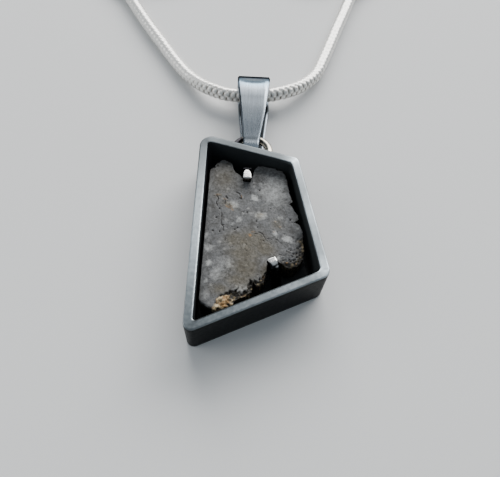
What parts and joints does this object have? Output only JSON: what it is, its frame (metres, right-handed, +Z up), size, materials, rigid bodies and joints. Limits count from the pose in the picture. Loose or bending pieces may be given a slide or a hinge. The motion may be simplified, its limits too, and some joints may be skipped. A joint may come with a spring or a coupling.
{
  "type": "framed meteorite slice pendant on a snake chain",
  "caption": "Rough stone slice held by two claws in a deep four-sided silver box frame, hung by a wire loop and tapered bail on a round snake chain with a lobster clasp.",
  "frame": {"origin": "under the middle of the box round the frame, loop and bail as the pendant lies on its back; z = 0 is the surface it lies on", "axes": "+Y from the frame along the bail towards the chain, +Z up out of the open face of the frame, +X to the right in the picture"},
  "size_m": [0.0572, 0.0911, 0.0062],
  "materials": {
    "satin_silver": "silver sheet, brushed satin, slightly tarnished",
    "oxidised_silver": "silver sheet, blackened by oxidation",
    "bright_silver": "polished silver",
    "meteorite": "sawn matt stone with rust stains and broken edges"
  },
  "bodies": {
    "chain": {"bail": "satin_silver", "chain_left": "bright_silver", "coil_left": "bright_silver", "chain_tail_left": "bright_silver", "end_cap_left": "bright_silver", "chain_right": "bright_silver", "coil_right": "bright_silver", "chain_tail_right": "bright_silver", "end_cap_right": "bright_silver", "clasp_link": "bright_silver", "clasp": "bright_silver", "tag_ring": "bright_silver"},
    "pendant": {"frame_band": "satin_silver", "back_plate": "oxidised_silver", "meteorite_slice": "meteorite", "claw_upper": "bright_silver", "claw_lower": "bright_silver", "hanging_loop": "bright_silver"}
  },
  "joints": [
    {"name": "pendant_swing", "type": "hinge", "parent": "chain", "child": "pendant", "pos_m": [-0.00111, 0.00919, 0.00185], "axis": [-1, 0, 0], "range_deg": [0, 100]}
  ]
}
